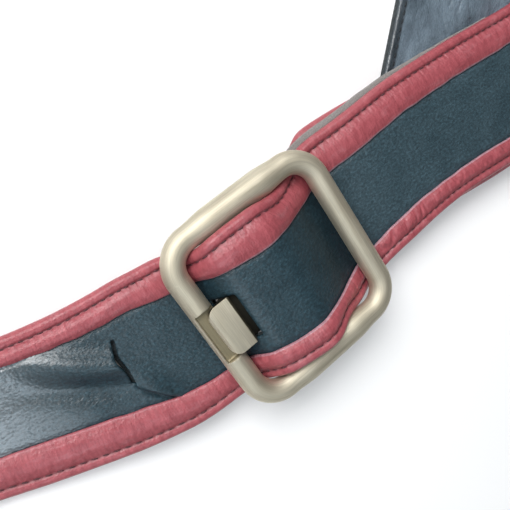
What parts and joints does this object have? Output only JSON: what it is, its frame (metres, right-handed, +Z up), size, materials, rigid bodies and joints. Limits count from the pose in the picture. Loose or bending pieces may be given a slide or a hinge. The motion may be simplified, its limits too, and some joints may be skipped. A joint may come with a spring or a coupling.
{
  "type": "guitar strap",
  "caption": "Bound leather guitar strap with a centre bar buckle, slotted adjusting tail and end tabs with button holes, laid in a standing loop.",
  "frame": {"origin": "middle of the button hole in the short strap's end tab, on the surface that the strap lies on", "axes": "+Z up out of the button hole, +X along the strap away from the buckle"},
  "size_m": [0.4988, 0.2892, 0.0451],
  "materials": {
    "navy_leather": "smooth semi-gloss dark blue-green leather",
    "navy_lining": "matte dark blue-green leather",
    "rose_leather": "soft satin burgundy rose leather",
    "core_webbing": "plain woven stiffener",
    "sewing_thread": "dark twisted thread",
    "nickel": "warm satin nickel plating"
  },
  "bodies": {
    "strap": {"long_face": "navy_leather", "long_core": "core_webbing", "long_lining": "navy_lining", "long_binding_near": "rose_leather", "long_binding_far": "rose_leather", "long_thread_near": "sewing_thread", "long_thread_far": "sewing_thread", "tail_end_binding": "rose_leather", "long_tab_top": "navy_leather", "long_tab_back": "navy_lining", "short_face": "navy_leather", "short_core": "core_webbing", "short_lining": "navy_lining", "short_binding_near": "rose_leather", "short_binding_far": "rose_leather", "short_thread_near": "sewing_thread", "short_thread_far": "sewing_thread", "short_tab_top": "navy_leather", "short_tab_back": "navy_lining"},
    "buckle": {"buckle_frame": "nickel", "centre_bar": "nickel"},
    "tongue": {"tongue": "nickel"}
  },
  "joints": [
    {"name": "buckle_rock", "type": "hinge", "parent": "strap", "child": "buckle", "pos_m": [-0.23, 0.003, 0.0152], "axis": [0, 1, 0], "range_deg": [-2.5, 2.5]},
    {"name": "tongue_lift", "type": "hinge", "parent": "buckle", "child": "tongue", "pos_m": [-0.23, 0.003, 0.0152], "axis": [0, 1, 0], "range_deg": [0, 6]}
  ]
}
